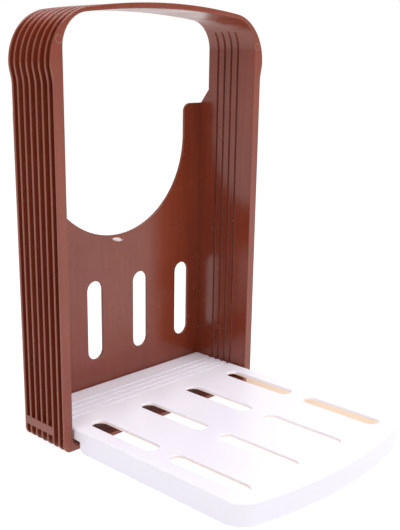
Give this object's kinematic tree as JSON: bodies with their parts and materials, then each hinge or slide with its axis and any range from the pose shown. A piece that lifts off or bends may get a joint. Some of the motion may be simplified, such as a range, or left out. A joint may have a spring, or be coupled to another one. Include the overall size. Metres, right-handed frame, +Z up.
{
  "type": "bread slicer guide",
  "caption": "Folding bread slicer guide: a finned arch frame with knife slots in both walls and a windowed back, and a slotted loaf tray that folds up into it.",
  "frame": {"origin": "centre of the opened guide's bounding box, on the table that it stands on", "axes": "+Z up, +X across the frame to the right as seen from the tray, +Y from the tray to the frame's back panel"},
  "size_m": [0.1514, 0.167, 0.2266],
  "materials": {
    "brown_plastic": "semi-gloss chocolate brown moulded plastic",
    "white_plastic": "satin white moulded plastic"
  },
  "bodies": {
    "frame": {"frame": "brown_plastic"},
    "tray": {"tray": "white_plastic"}
  },
  "joints": [
    {"name": "tray_fold", "type": "hinge", "parent": "frame", "child": "tray", "pos_m": [0, 0.0725, 0.0098], "axis": [-1, 0, 0], "range_deg": [0, 90]}
  ]
}
